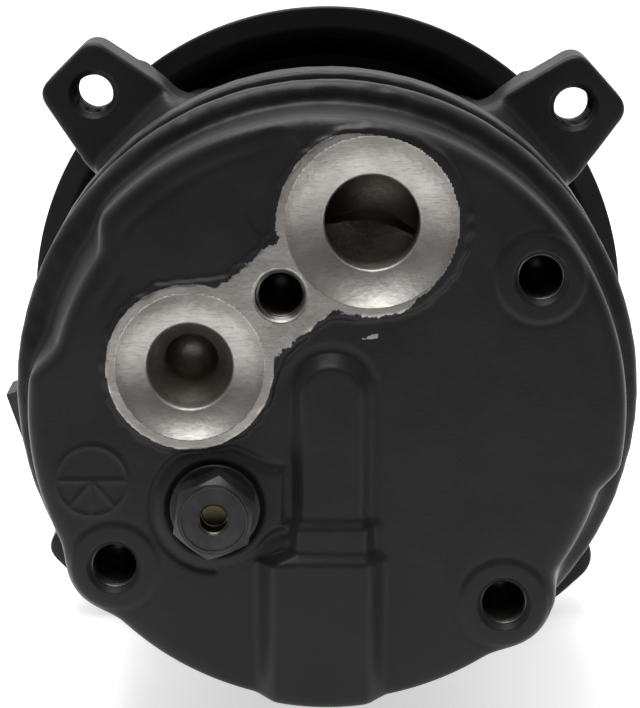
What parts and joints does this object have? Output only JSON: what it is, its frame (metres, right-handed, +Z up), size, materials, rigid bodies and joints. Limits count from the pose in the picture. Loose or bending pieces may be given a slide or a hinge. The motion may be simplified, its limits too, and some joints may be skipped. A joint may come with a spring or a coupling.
{
  "type": "automotive air-conditioning compressor",
  "caption": "Round swash-type air-conditioning compressor with a belt pulley and clutch in front, mounting ears round the body, and two gas ports on the rear face.",
  "frame": {"origin": "on the shaft's axis, in the middle plane of the belt", "axes": "+Y along the shaft from the rear head to the clutch, +Z up as installed in the picture, +X to the right seen from the rear"},
  "size_m": [0.1436, 0.1814, 0.1384],
  "materials": {
    "black_casting": "satin black paint over cast aluminium",
    "black_steel": "satin black paint over steel",
    "machined_aluminium": "machined",
    "bright_steel": "ground",
    "dark_steel": "phosphated",
    "bearing_steel": "polished",
    "bronze": "plain",
    "copper": "enamelled wire",
    "seal_rubber": "matt",
    "gasket": "coated",
    "connector_plastic": "moulded",
    "brass": "plain"
  },
  "bodies": {
    "housing": {"rear_head": "black_casting", "rear_gasket": "gasket", "discharge_reeds": "bright_steel", "valve_plate": "dark_steel", "suction_reeds": "bright_steel", "cylinder_block": "black_casting", "housing_seal_rings": "seal_rubber", "rear_bush": "bronze", "front_head": "black_casting", "front_bush": "bronze", "shaft_seal": "seal_rubber", "seal_clip": "dark_steel", "through_bolts": "bright_steel", "thrust_race": "bearing_steel", "coil_housing": "black_steel", "coil_winding": "copper", "coil_clip": "dark_steel", "coil_connector": "connector_plastic", "connector_pins": "brass", "bearing_inner_race": "bearing_steel", "relief_valve_body": "black_steel", "relief_spring": "bright_steel", "control_valve": "brass", "control_valve_rings": "seal_rubber", "control_valve_clip": "dark_steel"},
    "pulley": {"pulley_rotor": "black_steel", "bearing_outer_race": "bearing_steel", "bearing_clip": "dark_steel"},
    "bearing_balls": {"bearing_balls": "bearing_steel"},
    "shaft": {"drive_shaft": "bright_steel", "shaft_key": "bright_steel", "clutch_hub": "black_steel", "shaft_nut": "dark_steel", "hub_rivets": "bright_steel", "leaf_springs": "bright_steel", "drive_lug": "bright_steel", "return_spring": "bright_steel"},
    "thrust_needles": {"thrust_needles": "bearing_steel"},
    "armature": {"armature_plate": "black_steel", "plate_rivets": "bright_steel"},
    "sleeve": {"pivot_sleeve": "bright_steel", "pivot_pins": "bright_steel"},
    "journal": {"journal": "dark_steel", "drive_pin": "bright_steel", "plate_retainer": "bright_steel"},
    "wobble_plate": {"wobble_plate": "machined_aluminium", "guide_shoe": "bronze"},
    "plate_needles": {"plate_needles": "bearing_steel"},
    "relief_poppet": {"relief_poppet": "brass"},
    "control_pin": {"control_valve_pin": "bright_steel"},
    "piston_1": {"piston_1": "machined_aluminium"},
    "rod_1": {"rod_1": "bright_steel"},
    "piston_2": {"piston_2": "machined_aluminium"},
    "rod_2": {"rod_2": "bright_steel"},
    "piston_3": {"piston_3": "machined_aluminium"},
    "rod_3": {"rod_3": "bright_steel"},
    "piston_4": {"piston_4": "machined_aluminium"},
    "rod_4": {"rod_4": "bright_steel"},
    "piston_5": {"piston_5": "machined_aluminium"},
    "rod_5": {"rod_5": "bright_steel"}
  },
  "joints": [
    {"name": "pulley_spin", "type": "hinge", "parent": "housing", "child": "pulley", "pos_m": [0, 0, 0], "axis": [0, 1, 0], "continuous": true},
    {"name": "bearing_ball_orbit", "type": "hinge", "parent": "housing", "child": "bearing_balls", "pos_m": [0, 0, 0], "axis": [0, 1, 0], "continuous": true},
    {"name": "shaft_spin", "type": "hinge", "parent": "housing", "child": "shaft", "pos_m": [0, 0, 0], "axis": [0, 1, 0], "range_deg": [-360, 360]},
    {"name": "thrust_needle_orbit", "type": "hinge", "parent": "housing", "child": "thrust_needles", "pos_m": [0, 0, 0], "axis": [0, 1, 0], "range_deg": [-180, 180]},
    {"name": "clutch_pull_in", "type": "slide", "parent": "shaft", "child": "armature", "axis": [0, -1, 0], "range_m": [0, 0.0005], "stiffness_N_per_m": 40000, "deforming": ["leaf_springs"]},
    {"name": "sleeve_slide", "type": "slide", "parent": "shaft", "child": "sleeve", "axis": [0, 1, 0], "range_m": [0, 0.01284], "deforming": ["return_spring"]},
    {"name": "journal_tilt", "type": "hinge", "parent": "sleeve", "child": "journal", "pos_m": [0, -0.0579, 0], "axis": [1, 0, 0], "range_deg": [0, 20]},
    {"name": "plate_hold", "type": "hinge", "parent": "journal", "child": "wobble_plate", "pos_m": [0, -0.0579, 0], "axis": [0, 1, 0], "range_deg": [-360, 360]},
    {"name": "plate_needle_orbit", "type": "hinge", "parent": "journal", "child": "plate_needles", "pos_m": [0, -0.0579, 0], "axis": [0, 1, 0], "range_deg": [-180, 180]},
    {"name": "piston_1_stroke", "type": "slide", "parent": "housing", "child": "piston_1", "axis": [0, 1, 0], "range_m": [0, 0.00005]},
    {"name": "rod_1_swing", "type": "hinge", "parent": "piston_1", "child": "rod_1", "pos_m": [-0.00294, -0.0919, 0.03738], "axis": [1, 0, 0], "range_deg": [-3.16, 0]},
    {"name": "piston_2_stroke", "type": "slide", "parent": "housing", "child": "piston_2", "axis": [0, 1, 0], "range_m": [0, 0.00984]},
    {"name": "rod_2_swing", "type": "hinge", "parent": "piston_2", "child": "rod_2", "pos_m": [-0.03646, -0.0919, 0.00875], "axis": [1, 0, 0], "range_deg": [-0.747, 0]},
    {"name": "piston_3_stroke", "type": "slide", "parent": "housing", "child": "piston_3", "axis": [0, 1, 0], "range_m": [0, 0.02377]},
    {"name": "rod_3_swing", "type": "hinge", "parent": "piston_3", "child": "rod_3", "pos_m": [-0.01959, -0.0919, -0.03197], "axis": [1, 0, 0], "range_deg": [0, 2.7]},
    {"name": "piston_4_stroke", "type": "slide", "parent": "housing", "child": "piston_4", "axis": [0, 1, 0], "range_m": [0, 0.02259]},
    {"name": "rod_4_swing", "type": "hinge", "parent": "piston_4", "child": "rod_4", "pos_m": [0.02435, -0.0919, -0.02851], "axis": [1, 0, 0], "range_deg": [0, 2.41]},
    {"name": "piston_5_stroke", "type": "slide", "parent": "housing", "child": "piston_5", "axis": [0, 1, 0], "range_m": [0, 0.00793]},
    {"name": "rod_5_swing", "type": "hinge", "parent": "piston_5", "child": "rod_5", "pos_m": [0.03465, -0.0919, 0.01435], "axis": [1, 0, 0], "range_deg": [-1.22, 0]},
    {"name": "relief_lift", "type": "slide", "parent": "housing", "child": "relief_poppet", "axis": [0, -1, 0], "range_m": [0, 0.0015], "stiffness_N_per_m": 20000, "deforming": ["relief_spring"]},
    {"name": "control_pin_stroke", "type": "slide", "parent": "housing", "child": "control_pin", "axis": [0, 0, 1], "range_m": [0, 0.001], "stiffness_N_per_m": 5000}
  ],
  "couplings": [
    {"joint": "bearing_ball_orbit", "follows": "pulley_spin", "ratio": 0.56437},
    {"joint": "thrust_needle_orbit", "follows": "shaft_spin", "ratio": 0.5},
    {"joint": "sleeve_slide", "follows": "journal_tilt", "m_per_rad": 0.036743},
    {"joint": "plate_hold", "follows": "shaft_spin", "ratio": -1},
    {"joint": "plate_needle_orbit", "follows": "shaft_spin", "ratio": -0.5},
    {"joint": "piston_1_stroke", "follows": "journal_tilt", "m_per_rad": 0.000113},
    {"joint": "rod_1_swing", "follows": "journal_tilt", "ratio": -0.15729},
    {"joint": "piston_2_stroke", "follows": "journal_tilt", "m_per_rad": 0.028166},
    {"joint": "rod_2_swing", "follows": "journal_tilt", "ratio": -0.036832},
    {"joint": "piston_3_stroke", "follows": "journal_tilt", "m_per_rad": 0.068072},
    {"joint": "rod_3_swing", "follows": "journal_tilt", "ratio": 0.13453},
    {"joint": "piston_4_stroke", "follows": "journal_tilt", "m_per_rad": 0.064683},
    {"joint": "rod_4_swing", "follows": "journal_tilt", "ratio": 0.11997},
    {"joint": "piston_5_stroke", "follows": "journal_tilt", "m_per_rad": 0.022682},
    {"joint": "rod_5_swing", "follows": "journal_tilt", "ratio": -0.060379}
  ]
}
